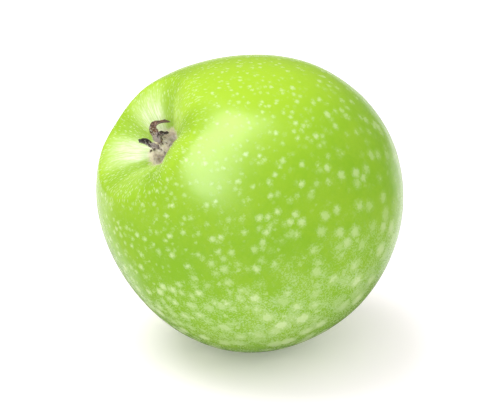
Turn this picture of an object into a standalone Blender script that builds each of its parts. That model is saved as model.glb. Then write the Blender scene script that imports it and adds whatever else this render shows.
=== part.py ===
# A whole green apple lying on its shoulder. Every piece is modelled upright about the
# fruit's own axis, blossom end on top, and one empty leans them all over to the way it rests.
import math

import bmesh
import bpy
from mathutils import Matrix, Vector
from mathutils.geometry import interpolate_bezier

MM = 0.001

# How the apple lies: its axis leans from the vertical, towards this compass turn.
AXIS_LEAN = math.radians(52.0)
AXIS_TURN = math.radians(199.6)
REST_FLAT_DEPTH = 0.75 * MM  # how much of the lowest skin the flat it rests on takes away

# Fruit outline. Heights are measured from the widest ring, and each fullness is how far
# the curve keeps its direction before it turns.
EQUATOR_RADIUS = 38.2 * MM
UPPER_FULLNESS = 21.0 * MM
LOWER_FULLNESS = 23.2 * MM
CROWN_RADIUS = 17.0 * MM  # highest ring round the blossom end
CROWN_HEIGHT = 36.7 * MM
CROWN_FULLNESS = 2.2 * MM
SHOULDER_RADIUS = 15.2 * MM  # furthest ring round the stem end
SHOULDER_DEPTH = 33.1 * MM
SHOULDER_FULLNESS = 3.2 * MM

BASIN_FLOOR_RADIUS = 3.1 * MM
BASIN_DEPTH = 6.3 * MM
BASIN_FLARE = 1.9 * MM
BASIN_ROLL = 8.6 * MM

CAVITY_FLOOR_RADIUS = 2.0 * MM
CAVITY_DEPTH = 12.6 * MM
CAVITY_FLARE = 1.2 * MM
CAVITY_ROLL = 7.0 * MM

# Five ribs that run up the basin wall and fade over the crown, and the side of the crown
# that grew higher.
RIB_COUNT = 5
RIB_TURN = math.radians(27.7)
RIB_RISE = 0.6 * MM
RIB_RADIUS = 9.0 * MM
RIB_FADE_RADIUS = 26.0 * MM
CROWN_START = 0.1  # share of the crown's height where the upper half starts to change shape
HIGH_SIDE_TURN = math.radians(-45.0)
HIGH_SIDE_RISE = 5.5 * MM
LOW_SHOULDER_TURN = math.radians(78.0)
LOW_SHOULDER_DROP = 1.9 * MM

AROUND = 76
FLOOR_ROWS = 2
BASIN_ROWS = 11
UPPER_ROWS = 16
LOWER_ROWS = 18
CAVITY_ROWS = 11

GAP = 0.3 * MM  # clearance between pieces that grow out of each other
SAME_PLACE = 0.01 * MM  # points closer than this are one point
ON_THE_CUT = 0.001 * MM  # points closer than this to the rest plane lie on it

STEM_LENGTH = 17.5 * MM
STEM_RADIUS = 1.15 * MM
STEM_FOOT_RADIUS = 1.5 * MM
STEM_KNOB_RADIUS = 1.9 * MM
STEM_BEND = 2.6 * MM
STEM_BEND_TURN = math.radians(70.0)
# Shares of the stem's length and its radius there, from the foot to the knob's worn end.
STEM_STATIONS = (
    (0.0, STEM_FOOT_RADIUS),
    (0.08, 1.43 * MM),
    (0.25, STEM_RADIUS),
    (0.5, 1.09 * MM),
    (0.75, 1.21 * MM),
    (0.88, 1.44 * MM),
    (0.95, STEM_KNOB_RADIUS),
    (1.0, 1.62 * MM),
)

SEPAL_RING_RADIUS = 2.05 * MM
SEPAL_FOOT_WIDTH = 1.9 * MM
SEPAL_WIDTH = 2.1 * MM
SEPAL_THICKNESS = 0.5 * MM
SEPAL_NARROWING = 0.88  # share of the width that is gone at the tip
SEPAL_POINTEDNESS = 2.2  # the higher, the closer to the tip the sepal narrows
SEPAL_THINNING = 0.6  # share of the thickness that is gone at the tip
SEPAL_CUP = 0.35  # how much the edges stand up beside the middle, before it fades to the tip
SEPAL_ROWS = 12
SEPAL_SIDES = 10
# Where each sepal stands and how it dried: how high it rises, how far it leans out at the
# bend, and where its tip ended up, outwards, sideways and in height.
SEPALS = (
    dict(turn=-116.3, rise=6.9, lean=3.7, tip_out=3.9, sweep=-4.9, tip_height=2.7),
    dict(turn=-44.3, rise=4.4, lean=3.2, tip_out=5.2, sweep=-1.4, tip_height=5.4),
    dict(turn=27.7, rise=3.2, lean=1.8, tip_out=2.9, sweep=-0.6, tip_height=3.7),
    dict(turn=99.7, rise=2.8, lean=1.8, tip_out=2.6, sweep=0.7, tip_height=3.2),
    dict(turn=171.7, rise=4.2, lean=1.4, tip_out=3.7, sweep=0.9, tip_height=2.0),
)

STAMEN_DISC_RADIUS = 1.25 * MM
STAMEN_DISC_HEIGHT = 0.5 * MM
STAMEN_DISC_BORDER = 0.45  # share of the disc's radius that the ring of threads takes up
STAMEN_COUNT = 10
STAMEN_HEIGHT = 2.2 * MM
STAMEN_SHORTNESS = 0.5  # share of that height by which the shortest thread falls short
STAMEN_UNEVENNESS = 2.4  # turn in radians that sets one thread's height against the next
STAMEN_SPREAD = 1.15
STAMEN_TAPER = 0.55


def smooth_step(low, high, value):
    t = min(max((value - low) / (high - low), 0.0), 1.0)
    return t * t * (3.0 - 2.0 * t)


def curve_run(start, start_handle, end_handle, end, rows):
    """Points of one Bezier run in the (radius, height) plane, without its last point."""
    corners = [Vector((r, 0.0, z)) for r, z in (start, start_handle, end_handle, end)]
    return interpolate_bezier(*corners, rows + 1)[:-1]


def material(name, color, roughness):
    made = bpy.data.materials.new(name)
    made.use_nodes = True
    shader = made.node_tree.nodes["Principled BSDF"]
    shader.inputs["Base Color"].default_value = (*color, 1.0)
    shader.inputs["Roughness"].default_value = roughness
    return made


def finished(name, bm, skin, parent):
    """Turns a bmesh into one smooth-shaded object that leans with the apple."""
    bmesh.ops.recalc_face_normals(bm, faces=bm.faces[:])
    for face in bm.faces:
        face.smooth = True
    mesh = bpy.data.meshes.new(name)
    bm.to_mesh(mesh)
    bm.free()
    mesh.materials.append(skin)
    piece = bpy.data.objects.new(name, mesh)
    bpy.context.scene.collection.objects.link(piece)
    piece.parent = parent
    return piece


def fruit_outline():
    floor = CROWN_HEIGHT - BASIN_DEPTH
    cavity = CAVITY_DEPTH - SHOULDER_DEPTH
    points = curve_run(
        (0.0, floor),
        (BASIN_FLOOR_RADIUS / 3, floor),
        (BASIN_FLOOR_RADIUS * 2 / 3, floor),
        (BASIN_FLOOR_RADIUS, floor),
        FLOOR_ROWS,
    )
    points += curve_run(
        (BASIN_FLOOR_RADIUS, floor),
        (BASIN_FLOOR_RADIUS + BASIN_FLARE, floor),
        (CROWN_RADIUS - BASIN_ROLL, CROWN_HEIGHT),
        (CROWN_RADIUS, CROWN_HEIGHT),
        BASIN_ROWS,
    )
    points += curve_run(
        (CROWN_RADIUS, CROWN_HEIGHT),
        (CROWN_RADIUS + CROWN_FULLNESS, CROWN_HEIGHT),
        (EQUATOR_RADIUS, UPPER_FULLNESS),
        (EQUATOR_RADIUS, 0.0),
        UPPER_ROWS,
    )
    points += curve_run(
        (EQUATOR_RADIUS, 0.0),
        (EQUATOR_RADIUS, -LOWER_FULLNESS),
        (SHOULDER_RADIUS + SHOULDER_FULLNESS, -SHOULDER_DEPTH),
        (SHOULDER_RADIUS, -SHOULDER_DEPTH),
        LOWER_ROWS,
    )
    points += curve_run(
        (SHOULDER_RADIUS, -SHOULDER_DEPTH),
        (SHOULDER_RADIUS - CAVITY_ROLL, -SHOULDER_DEPTH),
        (CAVITY_FLOOR_RADIUS + CAVITY_FLARE, cavity),
        (CAVITY_FLOOR_RADIUS, cavity),
        CAVITY_ROWS,
    )
    return points + [Vector((CAVITY_FLOOR_RADIUS, 0.0, cavity)), Vector((0.0, 0.0, cavity))]


def grown(point):
    """Moves a point of the spun body to where the ribs and the uneven growth put it."""
    radius = math.hypot(point.x, point.y)
    if radius < GAP:
        return point
    turn = math.atan2(point.y, point.x)
    rib = math.cos(RIB_COUNT * (turn - RIB_TURN))
    crown = smooth_step(CROWN_START * CROWN_HEIGHT, CROWN_HEIGHT, point.z)
    ribbed = smooth_step(BASIN_FLOOR_RADIUS, RIB_RADIUS, radius)
    ribbed *= 1.0 - smooth_step(RIB_RADIUS, RIB_FADE_RADIUS, radius)
    shoulder = smooth_step(0.0, SHOULDER_DEPTH, -point.z)
    side = (radius / EQUATOR_RADIUS) ** 2
    rise = RIB_RISE * rib * crown * ribbed
    rise += HIGH_SIDE_RISE * crown * side * math.cos(turn - HIGH_SIDE_TURN)
    rise += LOW_SHOULDER_DROP * shoulder * side * math.cos(turn - LOW_SHOULDER_TURN)
    return Vector((point.x, point.y, point.z + rise))


def make_fruit(skin, parent):
    bm = bmesh.new()
    verts = [bm.verts.new(point) for point in fruit_outline()]
    edges = [bm.edges.new(pair) for pair in zip(verts, verts[1:])]
    bmesh.ops.spin(
        bm,
        geom=verts + edges,
        cent=(0.0, 0.0, 0.0),
        axis=(0.0, 0.0, 1.0),
        angle=math.tau,
        steps=AROUND,
        use_merge=True,
    )
    bmesh.ops.remove_doubles(bm, verts=bm.verts[:], dist=SAME_PLACE)
    for vert in bm.verts:
        vert.co = grown(vert.co)

    # The flat that it rests on is cut square to the vertical, at the lowest point of the skin.
    down = parent.rotation_euler.to_matrix().transposed() @ Vector((0.0, 0.0, -1.0))
    reach = max(vert.co.dot(down) for vert in bm.verts) - REST_FLAT_DEPTH
    bmesh.ops.bisect_plane(
        bm,
        geom=bm.verts[:] + bm.edges[:] + bm.faces[:],
        dist=ON_THE_CUT,
        plane_co=down * reach,
        plane_no=down,
        clear_outer=True,
    )
    rim = [edge for edge in bm.edges if edge.is_boundary]
    spot = bmesh.ops.holes_fill(bm, edges=rim)["faces"][0]
    middle = spot.calc_center_median()
    finished("fruit", bm, skin, parent)
    return middle


def make_stem(bark, parent):
    """A round stalk along a gentle bend, thick at its foot and knobbed where it broke off."""
    foot = CAVITY_DEPTH - SHOULDER_DEPTH - GAP
    line = bpy.data.curves.new("stem", "CURVE")
    line.dimensions = "3D"
    line.bevel_depth = 1.0
    line.bevel_resolution = 6
    line.resolution_u = 3
    line.use_fill_caps = True
    spline = line.splines.new("BEZIER")
    spline.bezier_points.add(len(STEM_STATIONS) - 1)
    bend = Vector((math.cos(STEM_BEND_TURN), math.sin(STEM_BEND_TURN), 0.0)) * STEM_BEND
    for (share, radius), point in zip(STEM_STATIONS, spline.bezier_points):
        point.co = bend * share * share + Vector((0.0, 0.0, foot - STEM_LENGTH * share))
        point.radius = radius
        point.handle_left_type = "AUTO"
        point.handle_right_type = "AUTO"
    line.materials.append(bark)
    stem = bpy.data.objects.new("stem", line)
    bpy.context.scene.collection.objects.link(stem)
    stem.parent = parent


def make_sepal(name, shape, leaf, parent):
    """A pointed, slightly cupped scale swept along its own dried curl."""
    floor = CROWN_HEIGHT - BASIN_DEPTH + GAP
    out = Matrix.Rotation(math.radians(shape["turn"]), 3, "Z")
    path = interpolate_bezier(
        Vector((SEPAL_RING_RADIUS, 0.0, floor)),
        Vector((SEPAL_RING_RADIUS, 0.0, floor + shape["rise"] * MM)),
        Vector((shape["lean"] * MM, shape["sweep"] * 0.5 * MM, floor + shape["rise"] * MM)),
        Vector((shape["tip_out"] * MM, shape["sweep"] * MM, floor + shape["tip_height"] * MM)),
        SEPAL_ROWS,
    )
    bm = bmesh.new()
    rings = []
    across = Vector((0.0, 1.0, 0.0))
    for row, centre in enumerate(path):
        share = row / (SEPAL_ROWS - 1)
        ahead = path[min(row + 1, SEPAL_ROWS - 1)] - path[max(row - 1, 0)]
        if row == 0:
            ahead = Vector((0.0, 0.0, 1.0))
        ahead.normalize()
        across = (across - ahead * across.dot(ahead)).normalized()
        face = ahead.cross(across)
        belly = SEPAL_FOOT_WIDTH + (SEPAL_WIDTH - SEPAL_FOOT_WIDTH) * math.sin(math.pi * share)
        width = belly * (1.0 - SEPAL_NARROWING * share**SEPAL_POINTEDNESS)
        thickness = SEPAL_THICKNESS * (1.0 - SEPAL_THINNING * share)
        cup = SEPAL_CUP * (1.0 - share)
        ring = []
        for side in range(SEPAL_SIDES):
            angle = math.tau * side / SEPAL_SIDES
            u = math.cos(angle) * width / 2
            v = math.sin(angle) * thickness / 2 + cup * u * u / (width / 2)
            ring.append(bm.verts.new(out @ (centre + across * u + face * v)))
        rings.append(ring)
    for lower, upper in zip(rings, rings[1:]):
        for side in range(SEPAL_SIDES):
            after = (side + 1) % SEPAL_SIDES
            bm.faces.new((lower[side], lower[after], upper[after], upper[side]))
    bm.faces.new(rings[0])
    bm.faces.new(rings[-1])
    finished(name, bm, leaf, parent)


def make_stamens(tuft, parent):
    """What is left of the flower's middle: a small disc that carries a ring of dry threads."""
    floor = CROWN_HEIGHT - BASIN_DEPTH + GAP
    bm = bmesh.new()
    bmesh.ops.create_circle(
        bm,
        cap_ends=True,
        segments=STAMEN_COUNT * 2,
        radius=STAMEN_DISC_RADIUS,
        matrix=Matrix.Translation((0.0, 0.0, floor)),
    )
    base = bm.faces[:]
    top = bmesh.ops.extrude_face_region(bm, geom=base)["geom"]
    lid = [part for part in top if isinstance(part, bmesh.types.BMFace)]
    for vert in lid[0].verts:
        vert.co.z += STAMEN_DISC_HEIGHT
    bmesh.ops.inset_region(bm, faces=lid, thickness=STAMEN_DISC_BORDER * STAMEN_DISC_RADIUS)
    level = floor + STAMEN_DISC_HEIGHT
    rim = [
        face
        for face in bm.faces
        if len(face.verts) == 4 and all(abs(v.co.z - level) < SAME_PLACE for v in face.verts)
    ]
    rim.sort(key=lambda face: math.atan2(face.calc_center_median().y, face.calc_center_median().x))
    for number, face in enumerate(rim[::2]):
        grown_face = bmesh.ops.extrude_discrete_faces(bm, faces=[face])["faces"][0]
        middle = grown_face.calc_center_median()
        short = STAMEN_SHORTNESS * (1.0 - math.cos(STAMEN_UNEVENNESS * number)) / 2
        height = STAMEN_HEIGHT * (1.0 - short)
        for vert in grown_face.verts:
            tapered = middle + (vert.co - middle) * STAMEN_TAPER
            vert.co = (tapered.x * STAMEN_SPREAD, tapered.y * STAMEN_SPREAD, level + height)
    finished("stamens", bm, tuft, parent)


def main():
    for old in list(bpy.data.objects):
        bpy.data.objects.remove(old, do_unlink=True)

    lie = bpy.data.objects.new("lie", None)
    lie.rotation_euler = (0.0, AXIS_LEAN, AXIS_TURN)
    bpy.context.scene.collection.objects.link(lie)

    spot = make_fruit(material("skin", (0.42, 0.64, 0.045), 0.35), lie)
    make_stem(material("bark", (0.16, 0.10, 0.045), 0.8), lie)
    leaf = material("dried_sepal", (0.11, 0.055, 0.035), 0.85)
    for number, shape in enumerate(SEPALS, 1):
        make_sepal(f"sepal_{number}", shape, leaf, lie)
    make_stamens(material("dried_stamen", (0.30, 0.22, 0.14), 0.9), lie)

    # The middle of the flat becomes the origin, so the apple stands on the ground there.
    lie.location = -(lie.rotation_euler.to_matrix() @ spot)


main()
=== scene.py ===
import math
from functools import partial

import bpy
from mathutils import Matrix, Vector


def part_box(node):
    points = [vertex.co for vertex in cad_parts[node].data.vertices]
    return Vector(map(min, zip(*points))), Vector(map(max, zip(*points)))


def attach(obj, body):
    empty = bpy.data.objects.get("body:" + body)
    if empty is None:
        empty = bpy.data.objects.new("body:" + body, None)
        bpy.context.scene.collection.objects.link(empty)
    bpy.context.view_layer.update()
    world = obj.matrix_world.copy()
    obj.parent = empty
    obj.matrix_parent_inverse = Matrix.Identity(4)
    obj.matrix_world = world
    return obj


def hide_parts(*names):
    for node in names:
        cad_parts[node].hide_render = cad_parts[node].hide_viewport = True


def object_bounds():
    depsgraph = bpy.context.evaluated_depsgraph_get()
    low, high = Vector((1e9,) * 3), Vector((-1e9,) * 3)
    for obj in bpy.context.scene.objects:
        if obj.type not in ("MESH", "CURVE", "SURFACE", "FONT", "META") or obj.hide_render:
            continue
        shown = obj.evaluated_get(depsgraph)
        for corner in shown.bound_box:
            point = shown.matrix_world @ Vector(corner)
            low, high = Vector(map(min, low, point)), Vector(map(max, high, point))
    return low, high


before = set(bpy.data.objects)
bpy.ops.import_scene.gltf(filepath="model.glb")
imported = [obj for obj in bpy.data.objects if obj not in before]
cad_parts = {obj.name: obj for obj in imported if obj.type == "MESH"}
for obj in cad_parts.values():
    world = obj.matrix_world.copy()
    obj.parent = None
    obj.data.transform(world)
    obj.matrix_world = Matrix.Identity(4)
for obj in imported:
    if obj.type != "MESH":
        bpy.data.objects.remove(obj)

mm = 0.001
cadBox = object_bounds()
print("frame loaded, box", [round(side / mm, 1) for side in cadBox[1] - cadBox[0]], "mm")

# How the apple lies: its axis leans from the vertical, towards this compass turn (degrees).
lie = {"lean": 52.0, "turn": 199.6}

# Sizes of the fruit, upright with the blossom end on top, heights from the widest ring (mm).
fruit = {
    "equatorRadius": 38.2,
    "upperFullness": 21.0,
    "lowerFullness": 23.2,
    "crownRadius": 17.0,
    "crownHeight": 36.7,
    "crownFullness": 2.2,
    "shoulderRadius": 15.2,
    "shoulderDepth": 33.1,
    "shoulderFullness": 3.2,
    "basinFloorRadius": 3.1,
    "basinDepth": 6.3,
    "basinFlare": 1.9,
    "basinRoll": 8.6,
    "cavityFloorRadius": 2.0,
    "cavityDepth": 12.6,
    "cavityFlare": 1.2,
    "cavityRoll": 7.0,
    "around": 372,
    "rows": 256,
}

# plain words for the kinds of node, some with a setting that they start with
kinds = {
    "read": ("ShaderNodeAttribute",),
    "noise": ("ShaderNodeTexNoise",),
    "seededNoise": ("ShaderNodeTexNoise", "noise_dimensions", "4D"),
    "cells": ("ShaderNodeTexVoronoi",),
    "ramp": ("ShaderNodeMapRange",),
    "softRamp": ("ShaderNodeMapRange", "interpolation_type", "SMOOTHSTEP"),
    "curve": ("ShaderNodeFloatCurve",),
    "blend": ("ShaderNodeMix", "data_type", "RGBA"),
    "tones": ("ShaderNodeSeparateColor",),
    "parts": ("ShaderNodeSeparateXYZ",),
    "joinParts": ("ShaderNodeCombineXYZ",),
    "bump": ("ShaderNodeBump",),
    "turned": ("ShaderNodeVectorRotate",),
    "turnedRound": ("ShaderNodeVectorRotate", "rotation_type", "Z_AXIS"),
    "position": ("GeometryNodeInputPosition",),
    "normal": ("GeometryNodeInputNormal",),
    "bezier": ("GeometryNodeCurvePrimitiveBezierSegment",),
    "circle": ("GeometryNodeCurvePrimitiveCircle",),
    "sweep": ("GeometryNodeCurveToMesh",),
    "onCurve": ("GeometryNodeSampleCurve", "mode", "FACTOR"),
    "ball": ("GeometryNodeMeshUVSphere",),
    "transformed": ("GeometryNodeTransform",),
    "moved": ("GeometryNodeSetPosition",),
    "merged": ("GeometryNodeMergeByDistance",),
    "flipped": ("GeometryNodeFlipFaces",),
    "joined": ("GeometryNodeJoinGeometry",),
    "planted": ("GeometryNodeInstanceOnPoints",),
    "keep": ("GeometryNodeStoreNamedAttribute", "data_type", "FLOAT"),
    "keepVector": ("GeometryNodeStoreNamedAttribute", "data_type", "FLOAT_VECTOR"),
    "kept": ("GeometryNodeInputNamedAttribute", "data_type", "FLOAT"),
    "keptVector": ("GeometryNodeInputNamedAttribute", "data_type", "FLOAT_VECTOR"),
    "chance": ("FunctionNodeRandomValue", "data_type", "FLOAT"),
    "chanceVector": ("FunctionNodeRandomValue", "data_type", "FLOAT_VECTOR"),
}
sums = {
    "plus": "ADD",
    "minus": "SUBTRACT",
    "times": "MULTIPLY",
    "timesPlus": "MULTIPLY_ADD",
    "over": "DIVIDE",
    "larger": "MAXIMUM",
    "power": "POWER",
    "sine": "SINE",
    "cosine": "COSINE",
    "turnOf": "ARCTAN2",
}
vectorSums = {
    "shifted": "ADD",
    "less": "SUBTRACT",
    "stretched": "MULTIPLY",
    "scaled": "SCALE",
    "unit": "NORMALIZE",
    "dot": "DOT_PRODUCT",
    "cross": "CROSS_PRODUCT",
}
kinds |= {word: ("ShaderNodeMath", "operation", name) for word, name in sums.items()}
kinds |= {word: ("ShaderNodeVectorMath", "operation", name) for word, name in vectorSums.items()}


def linear(hexColor):
    # sRGB hex to the linear colour that shaders take
    parts = [int(hexColor[i : i + 2], 16) / 255 for i in (1, 3, 5)]
    return (*[c / 12.92 if c <= 0.04045 else ((c + 0.055) / 1.055) ** 2.4 for c in parts], 1.0)


def feed(node, values):
    # gives inputs their values, or links them to a node or one of its outputs
    for key, value in values.items():
        for source in value if isinstance(value, list) else [value]:
            if isinstance(source, bpy.types.Node):
                source = next(output for output in source.outputs if output.enabled)
            if isinstance(source, bpy.types.NodeSocket):
                node.id_data.links.new(source, node.inputs[key])
            else:
                node.inputs[key].default_value = source


def add(tree, word, *given, points=(), **settings):
    # one node with its settings; its inputs are given in the order shown, or by name
    kind, *start = kinds.get(word, (word,))
    node = tree.nodes.new(kind)
    for number, point in enumerate(points):  # of a Float Curve, whose first and last are there
        line = node.mapping.curves[0].points
        if number in (0, len(points) - 1):
            line[0 if number == 0 else -1].location = point
        else:
            line.new(*point)
    for name, value in (dict([start] if start else []) | settings).items():
        setattr(node, name, value)
    shown = [number for number, socket in enumerate(node.inputs) if socket.enabled]
    values = {}
    for value in given:
        values |= value if isinstance(value, dict) else {shown[len(values)]: value}
    feed(node, values)
    return node


def startMaterial(name, finish):
    # a material with its even values, what adds its nodes, and its shader
    material = bpy.data.materials.new(name)
    material.use_nodes = True
    surface = material.node_tree.nodes["Principled BSDF"]
    feed(surface, finish)
    return material, partial(add, material.node_tree), surface


socketKinds = {int: "Int", float: "Float", tuple: "Vector", bpy.types.Material: "Material"}


def startTree(name, values):
    # an empty Geometry Nodes tree with an input for each value, and what adds its nodes
    tree = bpy.data.node_groups.new(name, "GeometryNodeTree")
    for way in ("INPUT", "OUTPUT"):
        tree.interface.new_socket("Geometry", in_out=way, socket_type="NodeSocketGeometry")
    for label, value in values.items():
        kind = "NodeSocket" + socketKinds[type(value)]
        tree.interface.new_socket(label, in_out="INPUT", socket_type=kind).default_value = value
    return tree, partial(add, tree), tree.nodes.new("NodeGroupInput").outputs


def endTree(node, given, geometry):
    # realised, smooth and with its material, ready to become a plain mesh
    real = node("GeometryNodeRealizeInstances", geometry)
    smooth = node("GeometryNodeSetShadeSmooth", {"Geometry": real})
    painted = node("GeometryNodeSetMaterial", {"Geometry": smooth, "Material": given["Material"]})
    node("NodeGroupOutput", painted)


def make(name, tree, values, holder=None):
    # runs a tree on its holder and keeps the result as one plain mesh object
    if holder is None:
        holder = bpy.data.objects.new(name + "Holder", bpy.data.meshes.new(name + "Holder"))
    bpy.context.scene.collection.objects.link(holder)
    modifier = holder.modifiers.new("grow", "NODES")
    modifier.node_group = tree
    for item in tree.interface.items_tree:
        if item.item_type == "SOCKET" and item.in_out == "INPUT" and item.name in values:
            modifier[item.identifier] = values[item.name]
    depsgraph = bpy.context.evaluated_depsgraph_get()
    mesh = bpy.data.meshes.new_from_object(
        holder.evaluated_get(depsgraph), preserve_all_data_layers=True, depsgraph=depsgraph
    )
    holder.modifiers.remove(modifier)
    bpy.data.objects.remove(holder)
    piece = bpy.data.objects.new(name, mesh)
    mesh.name = name
    bpy.context.scene.collection.objects.link(piece)
    print("made", name, "with", len(mesh.polygons), "faces")
    return piece


def ringPlaces(node, given, fill="NGON"):
    # a unit tube to be bent by rule: its mesh, each point's outward direction and its
    # share of the way from the first ring to the last
    sizes = {"Vertices": given["Around"], "Side Segments": given["Rows"], "Radius": 1.0, "Depth": 1.0}
    tube = node("GeometryNodeMeshCylinder", sizes, fill_type=fill)
    position = node("position")
    flat = node("stretched", position, (1, 1, 0))
    height = node("parts", position).outputs["Z"]
    return tube, node("unit", flat), node("plus", height, 0.5)


skinLook = {
    "freshGreen": "#88b21d",
    "deepGreen": "#7ead18",
    # yellower crown green, made lighter as painted light on the lit upper back
    "crownGreen": "#a6cb29",
    # painted shade: darker green in the folds between the basin's ribs
    "foldShadeGreen": "#83ad18",
    "haze": "#acc98a",
    # pale rays of the basin, whitened as painted light and sheen on the far wall
    "dot": "#c8dca0",
    "streak": "#e6f0ce",
    # basin felt, painted lighter than it is: painted light in the shaded pit
    "down": "#e0d5bb",
    "dirt": "#8b7860",
    "russet": "#8d7742",
    "finish": {
        "IOR": 1.45,
        "Subsurface Weight": 0.12,
        "Subsurface Radius": (0.8, 1.0, 0.25),
        "Subsurface Scale": 1.5 * mm,
        "Coat Weight": 0.2,
        "Coat Roughness": 0.2,
        "Coat IOR": 1.45,
    },
    # Turns round the axis (degrees): where the basin's ribs are painted pale, partly their own streaks
    # and partly painted light and sheen on the far wall; where the skin is yellower and lighter, partly
    # its own sun colour and partly painted light on the lit upper back; where the film starts nearest
    # to the blossom; and where it ends furthest from it, while on the other side it stops short of the
    # lower band by the floor as painted shade.
    "sides": {"pale": -80.0, "sunAndLight": -135.0, "haze": 20.0, "unshadedFilmSide": 120.0},
    "sideLeads": {"sunAndLight": -26.0, "haze": 28.0, "unshadedFilmSide": -36.0},  # mm that a side is ahead by
    # cells a mm, detail and roughness of each noise
    "noises": {
        "wobble": (0.9, 2.0, 0.5),  # keeps every dot from being round
        "grain": (2.1, 3.0, 0.8),  # specks of half a mm, which also fray the dots
        "drift": (0.15, 3.0, 0.5),  # of the film, 7 mm across
        "patch": (0.07, 4.0, 0.5),
        "mottle": (0.8, 3.0, 0.7),
        "ragged": (1.1, 3.0, 0.5),
        "dirt": (2.6, 3.0, 0.7),
        "cells": (1.3, 4.0, 0.6),  # 0.8 mm across instead of 0.05 mm, so that they show
    },
    # from where to where along the skin (mm from the blossom) each share goes from 0 to 1
    "ways": {
        "dashStart": (4.0, 9.0),
        "dashEnd": (25.0, 16.0),
        "dotStart": (13.0, 21.0),
        "dotEnd": (142.0, 130.0),
        "rayEnd": (20.0, 8.5),
        "inBasin": (30.0, 14.0),
    },
    # the same, followed by the values that it goes from and to
    "dotSize": (28.0, 78.0, 0.33, 0.46),
    "dotSoftness": (40.0, 75.0, 0.3, 0.36),
    "dotClearness": (36.0, 70.0, 0.74, 0.4),
    "towardsStem": (60.0, 92.0, 0.1, 1.0),
    "widerDots": (42.0, 78.0, 0.0, 0.07),
    "youngSide": (45.0, 75.0, 0.3, 1.0),
    # painted shade: the film is left off the lower band next to the floor, where shade falls
    "filmEndInShade": (65.0, 57.0, 0.3, 1.0),
    # crown share, reaching furthest on the lit upper back: partly painted light
    "crownSunAndLight": (66.0, 18.0, 0.0, 0.9),
    "feltEdge": (8.2, 6.0, 0.0, 0.9),
    "corkEdge": (153.0, 168.0, 0.0, 0.75),
    "dashesAround": 33.0,  # cells over one radius of turn, rays in the basin and on the crown
    "dashesAlong": 0.62,  # cells a mm along the skin
    "dashWobble": 0.3,
    "dashTone": (0.0, 0.8, 0.35, 1.0),
    "dashEdge": (0.38, 0.16),
    "firstDot": 1.14,  # mm between the smallest dots, round the crown
    "blossomSide": (-20.5, -14.3),  # mm off the axis, so that dots are largest on the other side
    "blossomReach": 100.0,  # mm from the widest ring to the point that the dots grow away from
    "dotWobble": 0.42,
    "dotVariety": 0.12,
    "dotTone": (0.0, 0.7, 0.35, 1.0),
    "dotFray": 0.55,
    "dotRim": -0.05,
    "dotStrength": 0.54,
    "dotCore": (0.18, 0.36, 0.0, 0.46),
    "dotHalo": (-0.34, 0.1),
    "youngCloseness": 1.65,
    "youngSize": 0.36,
    "youngFray": 0.6,
    "youngTone": (0.45, 0.95, 0.0, 0.62),
    "youngEdge": (-0.03, 0.26),
    "driftEdge": (0.4, 0.62),
    "grainEdge": (0.48, 0.6),
    "filmInDrift": (0.42, 0.08),  # what a drift adds, and what is there without it
    "filmRoundDots": 0.42,
    "filmInGrain": (0.95, 0.22),
    "filmSide": (-0.4, 0.45, 0.35, 1.0),
    "clearerInFilm": 0.32,
    "raysAround": 15.0,
    "raysAlong": 0.12,
    "rayNoise": (2.2, 3.0, 0.65),
    "rayEdge": (0.36, 0.66),
    "rayStrength": (0.6, 0.42),
    # painted light: the rays are strongest on the far, lit wall of the basin
    "raySideAndLight": (-0.1, 0.6, 0.15, 1.0),
    "rayOnRib": (-0.95, 0.5, 0.12, 1.0),
    "rayCover": 0.95,
    "mottleShare": 0.7,
    "patchEdge": (0.62, 1.08),
    # painted shade in the rib valleys of the basin
    "valleyShade": (0.2, -1.0, 0.0, 0.6),
    "feltRaggedness": 3.0,
    "dirtEdge": (0.56, 0.66, 0.0, 0.7),
    "corkNoise": (0.9, 3.0),
    "corkRaggedness": 26.0,
    "roughness": 0.235,
    "duller": {"dot": 0.18, "haze": 0.25, "felt": 0.5, "cork": 0.3},
    "dotRelief": 0.35,
    "bump": (0.6, 0.06 * mm),
}


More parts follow.
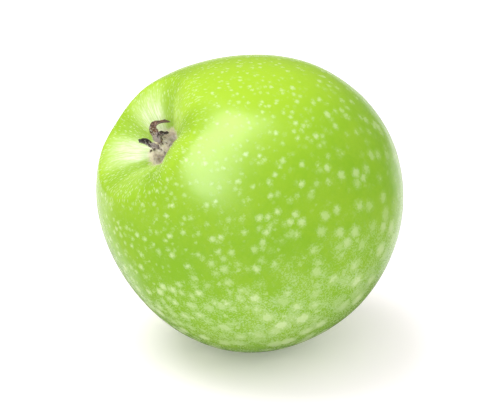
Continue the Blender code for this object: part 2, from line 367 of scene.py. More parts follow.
def skinMaterial():
    # Waxed apple skin: a clear wax film over living green skin. It gives a soft broad shine,
    # pale breathing pores that widen towards the stem end, and a milky film of grown-over wax.
    look = skinLook
    material, node, surface = startMaterial("waxedAppleSkin", look["finish"])
    place = node("scaled", node("read", attribute_name="upright").outputs["Vector"], 1 / mm)
    direction = node("unit", node("stretched", place, (1, 1, 0)))
    along = node("times", node("read", attribute_name="along").outputs["Fac"], 1 / mm)
    rib = node("read", attribute_name="rib").outputs["Fac"]
    noises = {name: node("noise", place, *values) for name, values in look["noises"].items()}
    ways = {name: node("softRamp", along, *span) for name, span in look["ways"].items()}
    centred = node("less", noises["wobble"].outputs["Color"], (0.5, 0.5, 0.5))
    sides = {}
    for side, turn in look["sides"].items():
        pointer = (math.cos(math.radians(turn)), math.sin(math.radians(turn)), 0.0)
        sides[side] = node("dot", direction, pointer)
    reaches = {
        side: node("timesPlus", sides[side], lead, along) for side, lead in look["sideLeads"].items()
    }

    # dashes that ray out of the basin: cells are drawn out along the skin and widen with the radius
    around = node("scaled", direction, look["dashesAround"])
    outward = node("joinParts", {"Z": node("times", along, look["dashesAlong"])})
    rayPlace = node("shifted", around, outward)
    rayPlace = node("shifted", rayPlace, node("scaled", centred, look["dashWobble"]))
    dashes = node("cells", rayPlace, 1.0)
    dashTone = node("ramp", node("tones", dashes.outputs["Color"]), *look["dashTone"])
    dash = node("softRamp", dashes, *look["dashEdge"])
    for share in (dashTone, ways["dashStart"], ways["dashEnd"]):
        dash = node("times", dash, share)

    # dots over the body: space turned inside out about a point above the blossom end, so that
    # cells keep their shape but grow with the square of the distance from it
    reach = look["blossomReach"]
    near = reach - fruit["crownHeight"]
    offset = node("less", place, (*look["blossomSide"], reach))
    shrink = node("over", near * near / look["firstDot"], node("dot", offset, offset))
    dotPlace = node("scaled", offset, shrink)
    dotPlace = node("shifted", dotPlace, node("scaled", centred, look["dotWobble"]))
    dots = node("cells", dotPlace, 1.0)
    tones = node("tones", dots.outputs["Color"])
    growth = node("ramp", along, *look["dotSize"])
    growth = node("timesPlus", tones.outputs["Green"], look["dotVariety"], growth)
    growth = node("plus", growth, node("ramp", reaches["haze"], *look["widerDots"]))
    fray = node("minus", noises["grain"], 0.5)
    nearness = node("timesPlus", fray, look["dotFray"], node("minus", growth, dots))
    softness = node("ramp", along, *look["dotSoftness"])
    dotEdge = node("softRamp", nearness, look["dotRim"], softness, 0.0, look["dotStrength"])
    dot = node("plus", dotEdge, node("softRamp", nearness, *look["dotCore"]))
    for share in (node("ramp", tones, *look["dotTone"]), ways["dotStart"], ways["dotEnd"]):
        dot = node("times", dot, share)
    # younger dots between them, 0.6 times as far apart
    young = node("cells", node("scaled", dotPlace, look["youngCloseness"]), 1.0)
    youngTone = node("ramp", node("tones", young.outputs["Color"]), *look["youngTone"])
    youngNear = node("timesPlus", fray, look["youngFray"], node("minus", look["youngSize"], young))
    youngDot = node("softRamp", youngNear, *look["youngEdge"])
    youngSide = node("ramp", reaches["haze"], *look["youngSide"])
    for share in (youngTone, youngSide, ways["dotStart"], ways["dotEnd"]):
        youngDot = node("times", youngDot, share)
    pores = node("larger", dash, node("larger", dot, youngDot))

    # milky film: specks round each dot and in drifts, thicker towards the stem end
    towardsStem = node("softRamp", reaches["haze"], *look["towardsStem"])
    filmSide = node("softRamp", sides["haze"], *look["filmSide"])
    # painted shade: the film stops short of the lower band by the floor
    filmEndInShade = node("softRamp", reaches["unshadedFilmSide"], *look["filmEndInShade"])
    halo = node("softRamp", nearness, *look["dotHalo"])
    film = node("softRamp", noises["drift"], *look["driftEdge"])
    film = node("timesPlus", film, *look["filmInDrift"])
    film = node("timesPlus", halo, look["filmRoundDots"], film)
    specks = node("softRamp", noises["grain"], *look["grainEdge"])
    specks = node("timesPlus", specks, *look["filmInGrain"])
    for share in (specks, towardsStem, filmEndInShade, filmSide):
        film = node("times", film, share)

    # rays of pale skin up the basin wall, strongest on the ribs and on the far wall: partly the
    # skin's own streaks, partly painted light and sheen where the far wall faces the lights
    rays = node("joinParts", {"Z": node("times", along, look["raysAlong"])})
    rays = node("shifted", node("scaled", direction, look["raysAround"]), rays)
    rays = node("softRamp", node("noise", rays, *look["rayNoise"]), *look["rayEdge"])
    rays = node("timesPlus", rays, *look["rayStrength"])
    onLitSide = node("softRamp", sides["pale"], *look["raySideAndLight"])
    onRib = node("softRamp", rib, *look["rayOnRib"])
    for share in (ways["rayEnd"], onRib, onLitSide, look["rayCover"]):
        rays = node("times", rays, share)

    # green under it all; yellower and lighter on the crown, partly its own sun colour and partly
    # painted light on the lit upper back; painted shade darkens the folds between the ribs
    patch = node("timesPlus", noises["mottle"], look["mottleShare"], noises["patch"])
    patch = node("softRamp", patch, *look["patchEdge"])
    color = node("blend", patch, linear(look["deepGreen"]), linear(look["freshGreen"]))
    # partly painted light: the lighter crown green reaches furthest on the lit upper back
    crown = node("softRamp", reaches["sunAndLight"], *look["crownSunAndLight"])
    # painted shade: the folds between the ribs in the basin are darker
    foldShade = node("times", node("softRamp", rib, *look["valleyShade"]), ways["inBasin"])
    clearness = node("ramp", along, *look["dotClearness"])
    inFilm = node("times", towardsStem, filmSide)
    clearness = node("timesPlus", inFilm, look["clearerInFilm"], clearness)
    poreShare = node("times", pores, clearness)

    # felt on the basin floor, painted lighter than its own colour to stand in for light in the
    # shaded pit, and corky skin down in the stem cavity
    felt = node("timesPlus", noises["ragged"], look["feltRaggedness"], along)
    felt = node("softRamp", felt, *look["feltEdge"])
    dirt = node("softRamp", noises["dirt"], *look["dirtEdge"])
    feltColorLightened = node("blend", dirt, linear(look["down"]), linear(look["dirt"]))
    cork = node("noise", rayPlace, *look["corkNoise"])
    cork = node("timesPlus", cork, look["corkRaggedness"], along)
    cork = node("softRamp", cork, *look["corkEdge"])
    for share, tint in (
        (crown, linear(look["crownGreen"])),
        (foldShade, linear(look["foldShadeGreen"])),
        (rays, linear(look["streak"])),
        (film, linear(look["haze"])),
        (poreShare, linear(look["dot"])),
        (felt, feltColorLightened),
        (cork, linear(look["russet"])),
    ):
        color = node("blend", share, color, tint)

    # pores, film and felt are duller than the wax between them
    dull = look["roughness"]
    for share, more in zip((poreShare, film, felt, cork), look["duller"].values()):
        dull = node("timesPlus", share, more, dull, use_clamp=share is cork)
    raised = node("timesPlus", pores, look["dotRelief"], noises["cells"])  # pores stand just proud
    bump = node("bump", *look["bump"], {"Height": raised})
    feed(surface, {"Base Color": color, "Roughness": dull, "Normal": bump})
    return material


growthLook = {
    "Rib Count": 5.0,
    "Rib Turn": math.radians(27.7),
    "Rib Rise": 0.6 * mm,
    "High Side Turn": math.radians(-45.0),
    "High Side Rise": 5.5 * mm,
    "Low Shoulder Turn": math.radians(78.0),
    "Low Shoulder Drop": 1.9 * mm,
    "Pleat": 0.16 * mm,  # small folds that run down the basin wall
    "Lump": 0.45 * mm,  # unevenness of the whole body
    "Dimple": 0.05 * mm,
    "Around": fruit["around"],
    "Rows": fruit["rows"],
    "Seed": 3.0,
}


def skinOutline():
    # half outline from the blossom to the stem as one Bezier curve, radius along X, height along Y
    f = {key: value * mm for key, value in fruit.items()}
    floor = f["crownHeight"] - f["basinDepth"]
    bottom = f["cavityDepth"] - f["shoulderDepth"]
    shoulder, cavityEdge = f["shoulderRadius"], f["cavityFloorRadius"]
    stations = (  # place, reach back and reach forward of each station, as (radius, height)
        ((0, floor), (0, 0), (1 * mm, 0)),
        ((f["basinFloorRadius"], floor), (-1 * mm, 0), (f["basinFlare"], 0)),
        ((f["crownRadius"], f["crownHeight"]), (-f["basinRoll"], 0), (f["crownFullness"], 0)),
        ((f["equatorRadius"], 0), (0, f["upperFullness"]), (0, -f["lowerFullness"])),
        ((shoulder, -f["shoulderDepth"]), (f["shoulderFullness"], 0), (-f["cavityRoll"], 0)),
        ((cavityEdge, bottom), (f["cavityFlare"], 0), (-0.6 * mm, 0)),
        ((0, bottom), (0.6 * mm, 0), (0, 0)),
    )
    curve = bpy.data.curves.new("skinOutline", "CURVE")
    curve.dimensions = "3D"
    curve.resolution_u = 48
    spline = curve.splines.new("BEZIER")
    spline.bezier_points.add(len(stations) - 1)
    for point, (place, back, ahead) in zip(spline.bezier_points, stations):
        point.co = (*place, 0)
        point.handle_left = (place[0] + back[0], place[1] + back[1], 0)
        point.handle_right = (place[0] + ahead[0], place[1] + ahead[1], 0)
    return bpy.data.objects.new("skinOutline", curve)


pleats = {"around": 2.6, "along": 0.05, "scale": 1.6, "detail": 2.0, "edge": (0.3, 0.7, -1.0, 1.0)}
swellings = {"Lump": 55.0, "Dimple": 260.0}  # cells a metre, so 18 and 4 mm across
# from where to where each share goes from 0 to 1 on the fruit (mm)
skinSpans = {
    "crown": (0.1 * fruit["crownHeight"], fruit["crownHeight"]),
    "shoulder": (0.0, fruit["shoulderDepth"]),
    "ribIn": (fruit["basinFloorRadius"], 9.0),
    "ribOut": (26.0, 9.0),
    "pleatIn": (1.5, 6.0),
    "pleatOut": (26.0, 10.0),
    "downy": (5.2, 3.4),
}


def skinTree(values):
    # spins the outline, then grows ribs, the uneven crown and shoulder, pleats and lumps on it
    tree, node, given = startTree("spunAndGrownFruit", values)
    spans = {name: [way * mm for way in span] for name, span in skinSpans.items()}
    tube, direction, share = ringPlaces(node, given, "NONE")
    onLine = node("onCurve", {"Curves": given["Geometry"], "Factor": share})
    spot = node("parts", onLine.outputs["Position"]).outputs
    radius, height = spot["X"], spot["Y"]
    along = node("times", share, node("GeometryNodeCurveLength", given["Geometry"]))
    spun = node("shifted", node("scaled", direction, radius), node("joinParts", {"Z": height}))

    pointing = node("parts", direction).outputs
    turn = node("turnOf", pointing["Y"], pointing["X"])
    rib = node("times", node("minus", turn, given["Rib Turn"]), given["Rib Count"])
    rib = node("cosine", rib)
    crown = node("softRamp", height, *spans["crown"])
    ribbed = node("softRamp", radius, *spans["ribIn"])
    for factor in (node("softRamp", radius, *spans["ribOut"]), crown, rib, given["Rib Rise"]):
        ribbed = node("times", ribbed, factor)
    rise = ribbed
    side = node("power", node("over", radius, fruit["equatorRadius"] * mm), 2.0)
    shoulder = node("softRamp", node("times", height, -1.0), *spans["shoulder"])
    for reach, angle, amount in (
        (crown, "High Side Turn", "High Side Rise"),
        (shoulder, "Low Shoulder Turn", "Low Shoulder Drop"),
    ):
        uneven = node("cosine", node("minus", turn, given[angle]))
        uneven = node("times", node("times", uneven, given[amount]), reach)
        rise = node("timesPlus", uneven, side, rise)
    grown = node("shifted", spun, node("joinParts", {"Z": rise}))

    body = node("keepVector", {"Geometry": tube, "Name": "upright", "Value": spun})
    body = node("keep", {"Geometry": body, "Name": "along", "Value": along})
    body = node("keep", {"Geometry": body, "Name": "rib", "Value": rib})
    body = node("moved", {"Geometry": body, "Position": grown})
    body = node("merged", {"Geometry": body, "Distance": 0.004 * mm})
    body = node("flipped", body)  # the tube ran from top to bottom

    # pleats follow the basin wall, lumps and dimples cover the whole body
    stored = node("keptVector", "upright")
    walked = node("kept", "along")
    level = node("scaled", node("unit", node("stretched", stored, (1, 1, 0))), pleats["around"])
    climb = node("joinParts", {"Z": node("times", walked, pleats["along"] / mm)})
    push = node("shifted", level, climb)
    push = node("seededNoise", push, given["Seed"], pleats["scale"], pleats["detail"])
    push = node("softRamp", push, *pleats["edge"])
    pleatIn, pleatOut = (node("softRamp", walked, *spans[name]) for name in ("pleatIn", "pleatOut"))
    for factor in (pleatIn, pleatOut, given["Pleat"]):
        push = node("times", push, factor)
    for amount, scale in swellings.items():
        swelling = node("minus", node("seededNoise", stored, given["Seed"], scale, 1.0), 0.5)
        push = node("timesPlus", swelling, given[amount], push)
    push = node("scaled", node("normal"), push)
    body = node("moved", {"Geometry": body, "Offset": push})
    downy = node("softRamp", walked, *spans["downy"])
    endTree(node, given, node("keep", {"Geometry": body, "Name": "downy", "Value": downy}))
    return tree


def makeSkin():
    values = dict(growthLook, Material=skinMaterial())
    skin = make("skin", skinTree(values), values, skinOutline())
    lean = Matrix.Rotation(math.radians(lie["turn"]), 4, "Z")
    lean = lean @ Matrix.Rotation(math.radians(lie["lean"]), 4, "Y")
    skin.data.transform(lean)
    # the frame's own fruit says where the leaning body stands, and the ground flattens it
    corners = [vertex.co for vertex in skin.data.vertices]
    low, high = (Vector([pick(c[i] for c in corners) for i in range(3)]) for pick in (min, max))
    boxLow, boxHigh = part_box("fruit")
    shift = (boxLow + boxHigh - low - high) / 2
    shift.z = boxHigh.z - high.z
    skin.data.transform(Matrix.Translation(shift))
    for vertex in skin.data.vertices:
        vertex.co.z = max(vertex.co.z, boxLow.z)
    return skin, Matrix.Translation(shift) @ lean


skin, stand = makeSkin()
print("skin stands at", [round(v / mm, 2) for v in stand.translation])


sepalLook = {
    "ring": 2.05,  # radius of the ring that they stand on (mm)
    "footWidth": 1.9,
    "width": 2.75,
    "thickness": 0.42,
    "around": 40,
    "rows": 72,
    "wrinkle": 0.34,
    "brown": "#84522f",
    "dark": "#221713",
    "wool": "#e6dbd2",
    "vein": "#8d6a4c",
    "finish": {"IOR": 1.45, "Sheen Weight": 0.25, "Sheen Roughness": 0.5},
    "stain": (1.4, 4.0, 0.65),  # noises: cells a mm, detail, roughness
    "clump": (1.9, 4.0, 0.7),  # wool in clumps of 0.5 mm
    "grain": (4.0, 4.0),
    "veins": (5.0, 1.6, 1.0),  # cells over half the width and over the length
    # where each share starts and ends, and its values there
    "stainEdge": (0.35, 0.65, -0.3, 0.3),
    "veinEdge": (0.52, 0.64, 0.0, 0.55),
    "woolFade": (0.0, 0.9, 0.42, -0.12),
    "woolEdge": (0.66, 0.84, 0.0, 0.9),
    "dryRoughness": (0.0, 1.0, 0.8, 0.55),
    "tipDarker": 0.45,
    "woolMore": 0.35,
    "woolRoughness": 0.4,
    "veinRelief": 1.2,
    "widths": ((0.0, 0.86), (0.3, 1.0), (0.62, 0.95), (0.86, 0.62), (1.0, 0.07)),
    "tears": (0.9, 5.5, 1.0),  # cells over the width and over the length
    "tornTo": (0.3, 0.7, 0.55, 1.25),
    "bump": (0.7, 0.12 * mm),
}

# Where each stands and how it dried: its turn (degrees), the rise and lean of its bend, how far
# out, aside and up its tip is (mm), how its edges curl in, how it twists, how dark it went and
# how much wool it kept.
sepalTraits = ("turn", "rise", "lean", "out", "sweep", "top", "curl", "twist", "dark", "wool")
sepals = {
    "sepal_1": (-116.3, 6.9, 3.7, 3.9, -4.9, 2.9, 0.8, 1.5, 0.28, 0.25),
    "sepal_2": (-44.3, 5.7, 2.7, 5.2, -1.4, 5.1, 2.0, -0.5, 0.85, 0.25),
    "sepal_3": (27.7, 3.2, 1.8, 2.9, -0.6, 3.7, 1.2, 0.3, 0.45, 0.85),
    "sepal_4": (99.7, 2.8, 1.8, 2.6, 0.7, 3.2, 1.3, -0.3, 0.4, 0.95),
    "sepal_5": (171.7, 4.2, 1.4, 3.7, 0.9, 2.0, 1.6, 0.4, 0.7, 0.4),
}


def sepalMaterial():
    # Dried sepal: papery dead leaf, matt, brown to near black with paler veins, and the white
    # wool of the living leaf still matted on its foot and edges.
    look = sepalLook
    material, node, surface = startMaterial("driedSepalLeaf", look["finish"])
    place = node("scaled", node("ShaderNodeTexCoord").outputs["Object"], 1 / mm)
    share, across, dark, wool = (
        node("read", attribute_name=name).outputs["Fac"] for name in ("share", "across", "dark", "wool")
    )
    stain = node("ramp", node("noise", place, *look["stain"]), *look["stainEdge"])
    darker = node("timesPlus", share, look["tipDarker"], dark)
    darker = node("plus", darker, stain, use_clamp=True)
    # veins run the whole length, about 0.3 mm apart
    veins = node("stretched", node("joinParts", across, share), look["veins"])
    veins = node("noise", veins, 1.0, 3.0, 0.7)
    veinMask = node("softRamp", veins, *look["veinEdge"])
    # wool is thickest at the foot
    woolly = node("timesPlus", wool, look["woolMore"], node("ramp", share, *look["woolFade"]))
    woolly = node("plus", node("noise", place, *look["clump"]), woolly)
    woolMask = node("softRamp", woolly, *look["woolEdge"])
    color = linear(look["brown"])
    for cover, tint in ((darker, "dark"), (veinMask, "vein"), (woolMask, "wool")):
        color = node("blend", cover, color, linear(look[tint]))
    rough = node("ramp", darker, *look["dryRoughness"])
    rough = node("timesPlus", woolMask, look["woolRoughness"], rough, use_clamp=True)
    raised = node("timesPlus", veins, look["veinRelief"], node("noise", place, *look["grain"]))
    bump = node("bump", *look["bump"], {"Height": raised})
    feed(surface, {"Base Color": color, "Roughness": rough, "Normal": bump})
    return material


def sepalTree(values):
    # a leaf blade bent along its own path, rolled in at its edges, twisted and wrinkled
    tree, node, given = startTree("driedSepal", values)
    ends = [given[name] for name in ("Foot", "Foot Handle", "Tip Handle", "Tip")]
    path = node("bezier", 64, *ends)
    tube, direction, share = ringPlaces(node, given)
    onPath = node("onCurve", {"Curves": path, "Factor": share}).outputs
    ahead = onPath["Tangent"]
    slant = node("scaled", ahead, node("dot", ahead, (0, 1, 0)))
    sideways = node("unit", node("less", (0, 1, 0), slant))
    inward = node("cross", ahead, sideways)

    section = node("parts", direction).outputs
    across, through = section["X"], section["Y"]
    shape = node("curve", {"Value": share}, points=sepalLook["widths"])
    belly = node("ramp", share, 0.0, 0.35, given["Foot Width"], given["Width"])
    half = node("times", node("times", shape, belly), 0.5)
    # the edges are torn unevenly
    torn = node("stretched", node("joinParts", across, share, given["Seed"]), sepalLook["tears"])
    torn = node("ramp", node("noise", torn, 1.0, 3.0), *sepalLook["tornTo"])
    half = node("times", half, torn)
    curl = node("ramp", share, 0.0, 0.8, 0.7, given["Curl"])
    angle = node("times", across, curl)
    sine, cosine = node("sine", angle), node("cosine", angle)
    reach = node("over", half, curl)
    thick = node("times", given["Thickness"], node("ramp", share, 0.0, 1.0, 0.5, 0.2))
    thick = node("times", thick, through)
    aside = node("minus", node("times", sine, reach), node("times", sine, thick))
    deep = node("times", node("minus", 1.0, cosine), reach)
    deep = node("timesPlus", cosine, thick, deep)
    offset = node("shifted", node("scaled", sideways, aside), node("scaled", inward, deep))
    twist = node("times", node("power", share, 1.5), given["Twist"])
    offset = node("turned", {"Vector": offset, "Axis": ahead, "Angle": twist})
    bent = node("shifted", onPath["Position"], offset)
    bent = node("turnedRound", {"Vector": bent, "Angle": given["Turn"]})
    downy = node("times", node("softRamp", share, 0.85, 0.1), given["Wool"])
    leaf = tube
    for label, value in (
        ("share", share),
        ("across", across),
        ("dark", given["Dark"]),
        ("wool", given["Wool"]),
        ("downy", downy),
    ):
        leaf = node("keep", {"Geometry": leaf, "Name": label, "Value": value})
    leaf = node("moved", {"Geometry": leaf, "Position": bent})
    # cross wrinkles, about 0.9 mm apart, as the leaf shrank
    crease = node("minus", node("seededNoise", bent, given["Seed"], 1.1 / mm, 2.0), 0.5)
    push = node("scaled", inward, node("times", crease, given["Wrinkle"]))
    push = node("turnedRound", {"Vector": push, "Angle": given["Turn"]})
    endTree(node, given, node("moved", {"Geometry": leaf, "Offset": push}))
    return tree


floorHeight = fruit["crownHeight"] - fruit["basinDepth"]


def makeSepals():
    material, tree, pieces = sepalMaterial(), None, []
    base = (floorHeight + 0.1) * mm
    ring = sepalLook["ring"] * mm
    for number, (name, row) in enumerate(sepals.items()):
        shape = dict(zip(sepalTraits, row))
        bend, aside = base + shape["rise"] * mm, shape["sweep"] * mm
        values = {
            "Foot": (ring, 0.0, base),
            "Foot Handle": (ring, 0.0, bend),
            "Tip Handle": (shape["lean"] * mm, aside / 2, bend),
            "Tip": (shape["out"] * mm, aside, base + shape["top"] * mm),
            "Turn": math.radians(shape["turn"]),
            "Foot Width": sepalLook["footWidth"] * mm,
            "Width": sepalLook["width"] * mm,
            "Thickness": sepalLook["thickness"] * mm,
            "Curl": shape["curl"],
            "Twist": shape["twist"],
            "Wrinkle": sepalLook["wrinkle"] * mm,
            "Seed": 4.0 + 3.7 * number,
            "Dark": shape["dark"],
            "Wool": shape["wool"],
            "Around": sepalLook["around"],
            "Rows": sepalLook["rows"],
            "Material": material,
        }
        tree = tree or sepalTree(values)
        pieces.append(make(name + "_leaf", tree, values))
        pieces[-1].data.transform(stand)
    return pieces


stamenLook = {
    "count": 16,
    "ring": 1.0,  # mm
    "length": 1.9,
    "radius": 0.085,
    "disc": 1.3,
    "discRise": 0.45,
    "seed": 5,
    # a thread of length 1: its foot, two handles and tip
    "bend": ((0, 0, -0.1), (0, 0, 0.4), (0.22, 0, 0.62), (0.1, 0.08, 1.0)),
    "tilts": ((-0.15, 0.05, -0.7), (0.25, 0.55, 0.7)),  # least and most, radians
    "sizes": (0.65, 1.0),
    "thread": "#4a3526",
    "anther": "#7d6445",
    "finish": {"Roughness": 0.8},
}


def stamenMaterial():
    # Dried stamen: stiff brown thread with a shrivelled paler anther, matt and slightly fibrous.
    material, node, surface = startMaterial("driedStamenThread", stamenLook["finish"])
    place = node("scaled", node("ShaderNodeTexCoord").outputs["Object"], 1 / mm)
    head = node("read", attribute_name="head").outputs["Fac"]
    spots = node("noise", place, 3.0, 3.0)
    share = node("plus", node("timesPlus", spots, 0.5, -0.25), head, use_clamp=True)
    color = node("blend", share, linear(stamenLook["thread"]), linear(stamenLook["anther"]))
    bump = node("bump", 0.6, 0.1 * mm, {"Height": spots})
    feed(surface, {"Base Color": color, "Normal": bump})
    return material


def stamenTree(values):
    # a crumpled disc with a ring of bent threads, each ending in a two-lobed anther
    tree, node, given = startTree("driedStamens", values)
    thread = node("bezier", 7, *stamenLook["bend"])
    thin = node("over", given["Thread Radius"], given["Length"])
    profile = node("circle", {"Resolution": 6, "Radius": thin})
    thread = node("sweep", thread, profile, {"Fill Caps": True})
    lobes = []
    for side in (-1, 1):
        spot = {"Translation": (0.1, 0.08 + side * 0.055, 1.02), "Scale": (0.9, 0.8, 1.7)}
        lobes.append(node("transformed", node("ball", 8, 5, 0.085), spot))
    heads = node("keep", {"Geometry": node("joined", lobes), "Name": "head", "Value": 1.0})
    stamen = node("joined", [thread, heads])

    spots = node("GeometryNodeMeshCircle", given["Count"], given["Ring"])
    spots = node("GeometryNodeMeshToPoints", spots)
    turn = node("over", 2 * math.pi, given["Count"])
    turn = node("times", node("GeometryNodeInputIndex"), turn)
    tilt = node("chanceVector", *stamenLook["tilts"], {"Seed": given["Seed"]})
    tilt = node("shifted", tilt, node("joinParts", {"Z": turn}))
    size = node("chance", *stamenLook["sizes"], {"Seed": given["Seed"]})
    size = node("times", size, given["Length"])
    threads = node("planted", {"Points": spots, "Instance": stamen, "Rotation": tilt, "Scale": size})
    cushion = node("ball", 40, 20, given["Disc Radius"])
    cushion = node("transformed", cushion, {"Scale": (1, 1, 0.36)})
    crumple = node("minus", node("noise", {"Scale": 1.3 / mm, "Detail": 2.0}), 0.5)
    push = node("scaled", node("normal"), node("times", crumple, 0.5 * mm))
    cushion = node("moved", {"Geometry": cushion, "Offset": push})
    endTree(node, given, node("joined", [threads, cushion]))
    return tree


def makeStamens():
    values = {
        "Count": stamenLook["count"],
        "Ring": stamenLook["ring"] * mm,
        "Length": stamenLook["length"] * mm,
        "Thread Radius": stamenLook["radius"] * mm,
        "Disc Radius": stamenLook["disc"] * mm,
        "Seed": stamenLook["seed"],
        "Material": stamenMaterial(),
    }
    piece = make("stamen_threads", stamenTree(values), values)
    rise = Matrix.Translation((0, 0, (floorHeight + stamenLook["discRise"]) * mm))
    piece.data.transform(rise)
    piece.data.transform(stand)
    return piece


downLook = {
    "floorDensity": 22.0,  # hairs on a square mm
    "sepalDensity": 14.0,
    "length": 0.75,
    "sepalShortness": 0.6,
    "radius": 0.035,  # twice a real hair, so that it still shows
    "lay": 0.7,
    "seed": 11,
    # a hair of length 1: its foot, two handles and tip
    "bend": ((0, 0, -0.05), (0, 0, 0.5), (0.5, 0.1, 0.35), (0.75, 0.0, 0.75)),
    "swings": ((-1, -1, -3.14), (1, 1, 3.14)),  # least and most, radians
    "sizes": (0.5, 1.25),
    # white hairs, partly painted light: lighter than the real ones to make up for the shaded basin
    "color": "#efe8dc",
    "dusty": "#b3a488",
    "finish": {"Roughness": 0.75, "Subsurface Weight": 0.1, "Subsurface Scale": 0.3 * mm},
}


def downMaterial():
    # Matted plant down: thin white hairs, painted a little lighter than they are as painted light
    # in the shaded basin, dusty and dull, that let a little light through.
    material, node, surface = startMaterial("mattedPlantDown", downLook["finish"])
    place = node("ShaderNodeTexCoord").outputs["Object"]
    dust = node("softRamp", node("noise", place, 0.9 / mm, 3.0), 0.35, 0.7)
    color = node("blend", dust, linear(downLook["color"]), linear(downLook["dusty"]))
    feed(surface, {"Base Color": color})
    return material


def downTree(values):
    # crooked tapering hairs scattered over a surface where its "downy" share says
    tree, node, given = startTree("scatteredDown", values)
    hair = node("bezier", 4, *downLook["bend"])
    taper = node("ramp", node("GeometryNodeSplineParameter"), {3: 1.0, 4: 0.25})
    hair = node("GeometryNodeSetCurveRadius", {"Curve": hair, "Radius": taper})
    thin = node("over", given["Hair Radius"], given["Length"])
    profile = node("circle", {"Resolution": 3, "Radius": thin})
    hair = node("sweep", hair, profile, {"Fill Caps": True})
    downy = node("kept", "downy")
    bare = node("FunctionNodeCompare", downy, 0.02, operation="LESS_THAN")
    patch = node("GeometryNodeDeleteGeometry", given["Geometry"], bare, domain="FACE")
    density = node("times", given["Density"], downy)
    scatter = {"Mesh": patch, "Density": density, "Seed": given["Seed"]}
    roots = node("GeometryNodeDistributePointsOnFaces", scatter)
    swing = node("chanceVector", *downLook["swings"], {"Seed": given["Seed"]})
    lay = node("joinParts", given["Lay"], given["Lay"], 1.0)
    bend = node("FunctionNodeEulerToRotation", node("stretched", swing, lay))
    turned = node(
        "FunctionNodeRotateRotation", roots.outputs["Rotation"], bend, rotation_space="LOCAL"
    )
    size = node("chance", *downLook["sizes"], {"Seed": given["Seed"]})
    size = node("times", size, given["Length"])
    hairs = node("planted", {"Points": roots, "Instance": hair, "Rotation": turned, "Scale": size})
    endTree(node, given, hairs)
    return tree


def makeDown(skinPiece, sepalPieces):
    # roots on a copy of the basin floor and of each sepal, then all of it as one piece
    material, tree, parts = downMaterial(), None, []
    for number, source in enumerate([skinPiece] + sepalPieces):
        holder = bpy.data.objects.new("downRoots", source.data.copy())
        density = downLook["floorDensity" if number == 0 else "sepalDensity"]
        values = {
            "Density": density / mm**2,
            "Length": downLook["length"] * mm * (1.0 if number == 0 else downLook["sepalShortness"]),
            "Hair Radius": downLook["radius"] * mm,
            "Lay": downLook["lay"],
            "Seed": downLook["seed"] + number,
            "Material": material,
        }
        tree = tree or downTree(values)
        parts.append(make("down_" + str(number), tree, values, holder))
    with bpy.context.temp_override(active_object=parts[0], selected_editable_objects=parts):
        bpy.ops.object.join()
    down = parts[0]
    down.name = down.data.name = "down"
    return down


stemLook = {
    "length": 17.5,
    "foot": -20.8,  # mm from the widest ring
    "bend": 2.6,
    "bendTurn": 70.0,
    "around": 72,
    "rows": 180,
    "furrow": 0.14,
    "thickness": 2.0,  # mm, times the outline below: share of the rows, share of the thickness
    "outline": (
        (0.0, 0.74), (0.08, 0.7), (0.22, 0.56), (0.48, 0.53), (0.7, 0.6), (0.82, 0.7),
        (0.88, 0.9), (0.93, 0.86), (0.95, 0.76), (0.975, 0.4), (1.0, 0.0),
    ),
    # how far along the stalk each row lies: the last turn in over the end and into its dish
    "rowPlaces": ((0.0, 0.0), (0.5, 0.53), (0.94, 0.995), (0.965, 0.995), (1.0, 0.965)),
    "furrows": (2.0, 3.0, 0.6),
    "knobLumps": (0.6, 0.88, 0.25 * mm, 0.9 * mm),
    "wood": "#6d5433",
    "pale": "#9a8a58",
    "dark": "#34261a",
    "green": "#7c8540",
    "pithDark": "#4f3d29",
    "pithPale": "#a8946c",
    "finish": {"Roughness": 0.62, "IOR": 1.5},
    "fibres": (3.2, 4.0, 0.65),  # noises: cells a mm, detail, roughness
    "fresh": (0.25, 2.0),
    "pith": (2.2, 4.0),
    "streakEdge": (0.38, 0.64),
    "freshEdge": (0.4, 0.6, 0.0, 0.55),
    "wartEdge": (0.26, 0.14),
    "tornEdge": (0.955, 0.97, 0.0, 0.85),
    "pithEdge": (0.4, 0.62),
    "wartRelief": 0.6,
    "bump": (0.8, 0.15 * mm),
}


def stemMaterial():
    # Apple stalk: young bark, brown over green, dull, furrowed lengthwise, with pale cork warts
    # and a torn dry end.
    look = stemLook
    material, node, surface = startMaterial("youngStalkBark", look["finish"])
    share = node("read", attribute_name="share").outputs["Fac"]
    place = node("scaled", node("read", attribute_name="upright").outputs["Vector"], 1 / mm)
    fibres = node("noise", node("stretched", place, (1, 1, 0.12)), *look["fibres"])
    streak = node("softRamp", fibres, *look["streakEdge"])
    fresh = node("softRamp", node("noise", place, *look["fresh"]), *look["freshEdge"])
    wart = node("cells", node("stretched", place, (1, 1, 0.6)), 0.9)
    wart = node("softRamp", wart, *look["wartEdge"])
    torn = node("softRamp", share, *look["tornEdge"])
    pith = node("ramp", node("noise", place, *look["pith"]), *look["pithEdge"])
    pith = node("blend", pith, linear(look["pithDark"]), linear(look["pithPale"]))
    color = linear(look["dark"])
    for cover, tint in (
        (streak, linear(look["wood"])),
        (fresh, linear(look["green"])),
        (wart, linear(look["pale"])),
        (torn, pith),
    ):
        color = node("blend", cover, color, tint)
    raised = node("timesPlus", wart, look["wartRelief"], fibres)
    bump = node("bump", *look["bump"], {"Height": raised})
    feed(surface, {"Base Color": color, "Normal": bump})
    return material


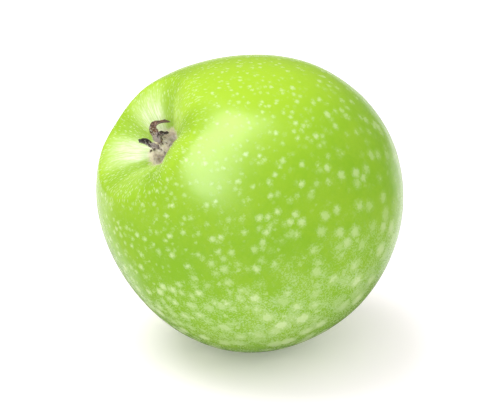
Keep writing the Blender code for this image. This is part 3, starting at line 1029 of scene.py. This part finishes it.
def stemTree(values):
    # a stalk along a gentle bend: thick foot, slender middle, furrows, knob and a dished torn end
    tree, node, given = startTree("bentStalk", values)
    tube, direction, share = ringPlaces(node, given)
    reach = node("curve", {"Value": share}, points=stemLook["rowPlaces"])
    radius = node("curve", {"Value": share}, points=stemLook["outline"])
    radius = node("times", radius, stemLook["thickness"] * mm)
    lines = node("joinParts", {"Z": node("times", share, 3.0)})
    lines = node("shifted", node("scaled", direction, 1.9), lines)
    furrow = node("ramp", node("noise", lines, *stemLook["furrows"]), 0.25, 0.75, -1.0, 1.0)
    fade = node("ramp", share, 1.0, 0.93, 0.0, 1.0)
    furrow = node("times", node("times", furrow, given["Furrow"]), fade)
    ring = node("scaled", direction, node("plus", radius, furrow))
    height = node("minus", given["Foot"], node("times", reach, given["Length"]))
    swing = node("times", node("times", reach, reach), given["Bend"])
    centre = node("joinParts", swing)
    centre = node("turnedRound", {"Vector": centre, "Angle": given["Bend Turn"]})
    lifted = node("shifted", node("shifted", ring, centre), node("joinParts", {"Z": height}))
    stalk = node("keep", {"Geometry": tube, "Name": "share", "Value": share})
    stalk = node("keepVector", {"Geometry": stalk, "Name": "upright", "Value": lifted})
    stalk = node("moved", {"Geometry": stalk, "Position": lifted})
    # knots and dents of 1.5 mm, strongest on the knob
    knot = node("minus", node("noise", lifted, 0.6 / mm, 2.0), 0.5)
    knot = node("times", knot, node("ramp", share, *stemLook["knobLumps"]))
    stalk = node("moved", {"Geometry": stalk, "Offset": node("scaled", direction, knot)})
    stalk = node("merged", {"Geometry": stalk, "Distance": 0.002 * mm})
    endTree(node, given, node("flipped", stalk))
    return tree


def makeStem():
    values = {
        "Foot": stemLook["foot"] * mm,
        "Length": stemLook["length"] * mm,
        "Bend": stemLook["bend"] * mm,
        "Bend Turn": math.radians(stemLook["bendTurn"]),
        "Furrow": stemLook["furrow"] * mm,
        "Around": stemLook["around"],
        "Rows": stemLook["rows"],
        "Material": stemMaterial(),
    }
    piece = make("stalk", stemTree(values), values)
    piece.data.transform(stand)
    return piece


sepalPieces = makeSepals()
stamens = makeStamens()
down = makeDown(skin, sepalPieces)
stalk = makeStem()
print("blossom end and stalk made")

studio = {
    "floor": "#fdf5fb",
    "floorFinish": {
        "Roughness": 0.9,
        "Specular IOR Level": 0.1,
        "Emission Color": (1, 1, 1, 1),
        "Emission Strength": 0.12,
    },
    "walls": 0.98,
    "wallsInShine": 0.16,
    "cameraDistance": 1.0,
    "cameraElevation": 25.0,
    "lens": 283.0,
    "aimBelow": 1.45,  # mm under the middle of the apple, seen from the camera
    # name, place from the apple's middle (m), its long way, size (m), watts, seen only in the shine
    "lights": (
        ("topBank", (-0.28, 0.16, 0.71), (0, 1, 0), (0.6, 0.6), 4.1, False),
        ("sideFill", (0.75, -0.35, 0.5), (0, 0, 1), (0.6, 0.4), 0.75, False),
        ("frontFill", (-0.36, -0.8, 0.24), (0, 0, 1), (0.6, 0.4), 1.6, False),
        ("shineCard", (-0.19, -0.335, 0.63), (0.399, 0.726, 0.559), (0.27, 1.1), 6.4, True),
        ("backCard", (0.0, 1.15, -0.38), (1, 0, 0), (0.62, 1.1), 1.5, True),
        ("rightCard", (0.55, 0.85, -0.42), (0, 0, 1), (0.5, 0.5), 0.6, True),
        ("leftCard", (-0.62, 0.75, -0.5), (0, 0, 1), (0.6, 0.7), 1.1, True),
    ),
}


def makeStudio():
    scene = bpy.context.scene
    low, high = cadBox
    centre = (low + high) / 2
    # white paper sweep, matt, with a little glow of its own so that it stays white
    bpy.ops.mesh.primitive_plane_add(size=6.0, location=(0, 0, 0))
    floor = bpy.context.object
    floor.name = "floor"
    material, _, surface = startMaterial("mattPaperSweep", studio["floorFinish"])
    feed(surface, {"Base Color": linear(studio["floor"])})
    floor.visible_glossy = False
    floor.visible_shadow = False  # the cards stand below it too
    floor.data.materials.append(material)

    world = bpy.data.worlds.new("whiteRoom")
    scene.world = world
    world.use_nodes = True
    # dark flags stand round the set: the skin mirrors them instead of the bright walls
    path = add(world.node_tree, "ShaderNodeLightPath").outputs["Is Glossy Ray"]
    strength = add(world.node_tree, "ShaderNodeMix", path, studio["walls"], studio["wallsInShine"])
    background = world.node_tree.nodes["Background"]
    feed(background, {"Color": (1, 1, 1, 1), "Strength": strength})

    for name, place, across, size, power, gloss in studio["lights"]:
        data = bpy.data.lights.new(name, "AREA")
        data.shape = "RECTANGLE"
        data.size, data.size_y = size
        data.energy = power
        light = bpy.data.objects.new(name, data)
        scene.collection.objects.link(light)
        outward = Vector(place).normalized()
        tall = (Vector(across) - outward * outward.dot(Vector(across))).normalized()
        turned = Matrix((tall.cross(outward), tall, outward)).transposed().to_4x4()
        light.matrix_world = Matrix.Translation(centre + Vector(place)) @ turned
        light.visible_glossy = gloss
        light.visible_diffuse = not gloss

    elevation = math.radians(studio["cameraElevation"])
    back = Vector((0, -math.cos(elevation), math.sin(elevation)))
    up = Vector((0, math.sin(elevation), math.cos(elevation)))
    data = bpy.data.cameras.new("camera")
    data.lens = studio["lens"]
    data.clip_start = 0.01
    data.clip_end = 50.0
    camera = bpy.data.objects.new("camera", data)
    scene.collection.objects.link(camera)
    aim = centre - up * studio["aimBelow"] * mm
    camera.location = aim + back * studio["cameraDistance"]
    camera.rotation_euler = back.to_track_quat("Z", "Y").to_euler()
    scene.camera = camera
    scene.view_settings.view_transform = "Standard"
    scene.view_settings.look = "None"


makeStudio()
print("studio ready")

for piece, node, slot in (
    (skin, "fruit", "skin"),
    (stalk, "stem", "bark"),
    (stamens, "stamens", "dried_stamen"),
    (down, None, "dried_sepal"),
    *((piece, name, "dried_sepal") for piece, name in zip(sepalPieces, sepals)),
):
    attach(piece, "root")
    if node:
        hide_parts(node)
